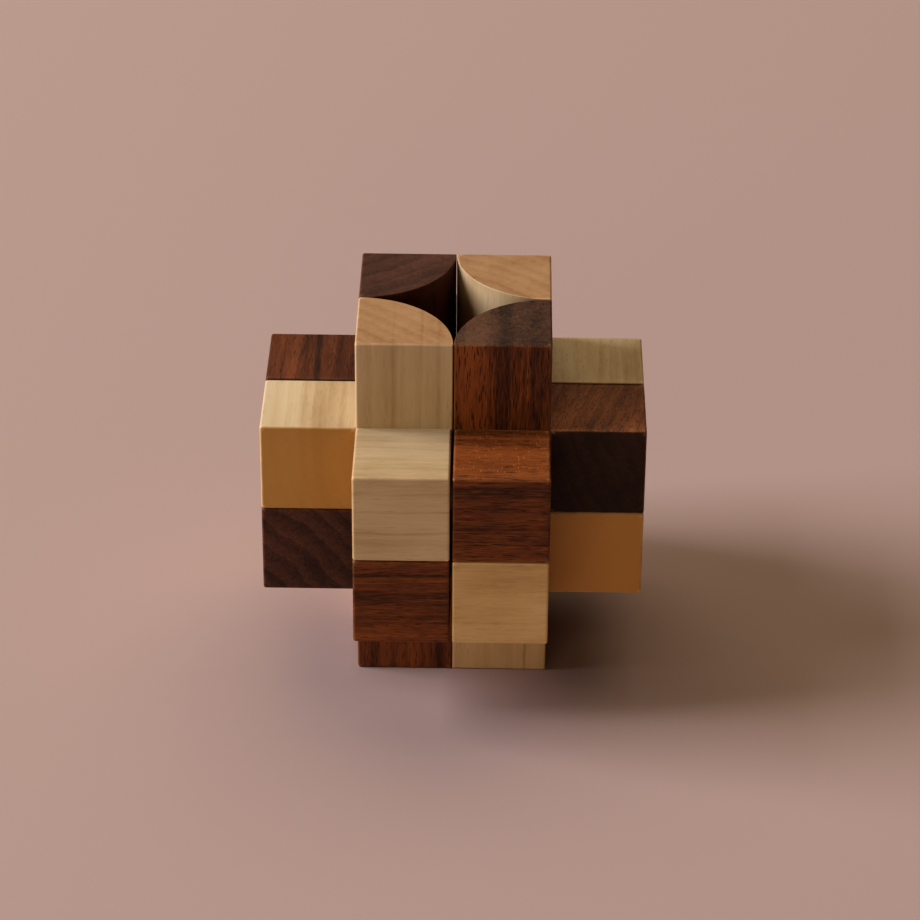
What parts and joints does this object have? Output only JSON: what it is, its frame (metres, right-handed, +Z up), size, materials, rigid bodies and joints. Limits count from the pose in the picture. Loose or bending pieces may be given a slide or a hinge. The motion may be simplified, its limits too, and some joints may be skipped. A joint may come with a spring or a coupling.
{
  "type": "interlocking wooden puzzle",
  "caption": "Three-way cross puzzle of pale and dark wooden blocks in a checkerboard, with quarter-round posts round a star-shaped well. Its halves pull apart on hidden dowels.",
  "frame": {"origin": "on the table, under the middle of the star-shaped well", "axes": "+X to the right and +Y to the rear along the two level arms, +Z up the posts"},
  "size_m": [0.0804, 0.0804, 0.08],
  "materials": {
    "light_wood": "satin, hand sanded",
    "dark_wood": "satin, hand sanded",
    "dowel_wood": "turned, waxed"
  },
  "bodies": {
    "front_left_bottom": {"front_left_bottom_post": "dark_wood", "front_left_bottom_left_block": "dark_wood", "front_left_bottom_front_block": "dark_wood", "front_bottom_dowel": "dowel_wood", "left_bottom_dowel": "dowel_wood", "front_left_post_dowel": "dowel_wood"},
    "front_left_top": {"front_left_top_post": "light_wood", "front_left_top_left_block": "light_wood", "front_left_top_front_block": "light_wood", "front_top_dowel": "dowel_wood", "left_top_dowel": "dowel_wood"},
    "front_right_bottom": {"front_right_bottom_post": "light_wood", "front_right_bottom_right_block": "light_wood", "front_right_bottom_front_block": "light_wood", "right_bottom_dowel": "dowel_wood", "front_right_post_dowel": "dowel_wood"},
    "front_right_top": {"front_right_top_post": "dark_wood", "front_right_top_right_block": "dark_wood", "front_right_top_front_block": "dark_wood", "right_top_dowel": "dowel_wood"},
    "rear_left_bottom": {"rear_left_bottom_post": "light_wood", "rear_left_bottom_left_block": "light_wood", "rear_left_bottom_rear_block": "light_wood", "rear_bottom_dowel": "dowel_wood", "rear_left_post_dowel": "dowel_wood"},
    "rear_left_top": {"rear_left_top_post": "dark_wood", "rear_left_top_left_block": "dark_wood", "rear_left_top_rear_block": "dark_wood", "rear_top_dowel": "dowel_wood"},
    "rear_right_bottom": {"rear_right_bottom_post": "dark_wood", "rear_right_bottom_right_block": "dark_wood", "rear_right_bottom_rear_block": "dark_wood", "rear_right_post_dowel": "dowel_wood"},
    "rear_right_top": {"rear_right_top_post": "light_wood", "rear_right_top_right_block": "light_wood", "rear_right_top_rear_block": "light_wood"}
  },
  "joints": [
    {"name": "right_half_pull", "type": "slide", "parent": "front_left_bottom", "child": "front_right_bottom", "axis": [1, 0, 0], "range_m": [0, 0.014]},
    {"name": "rear_half_pull", "type": "slide", "parent": "front_left_bottom", "child": "rear_left_bottom", "axis": [0, 1, 0], "range_m": [0, 0.014]},
    {"name": "rear_half_pull_right", "type": "slide", "parent": "front_right_bottom", "child": "rear_right_bottom", "axis": [0, 1, 0], "range_m": [0, 0.014]},
    {"name": "top_half_lift", "type": "slide", "parent": "front_left_bottom", "child": "front_left_top", "axis": [0, 0, 1], "range_m": [0, 0.014]},
    {"name": "top_half_lift_front_right", "type": "slide", "parent": "front_right_bottom", "child": "front_right_top", "axis": [0, 0, 1], "range_m": [0, 0.014]},
    {"name": "top_half_lift_rear_left", "type": "slide", "parent": "rear_left_bottom", "child": "rear_left_top", "axis": [0, 0, 1], "range_m": [0, 0.014]},
    {"name": "top_half_lift_rear_right", "type": "slide", "parent": "rear_right_bottom", "child": "rear_right_top", "axis": [0, 0, 1], "range_m": [0, 0.014]}
  ],
  "couplings": [
    {"joint": "rear_half_pull_right", "follows": "rear_half_pull", "ratio": 1},
    {"joint": "top_half_lift_front_right", "follows": "top_half_lift", "ratio": 1},
    {"joint": "top_half_lift_rear_left", "follows": "top_half_lift", "ratio": 1},
    {"joint": "top_half_lift_rear_right", "follows": "top_half_lift", "ratio": 1}
  ]
}
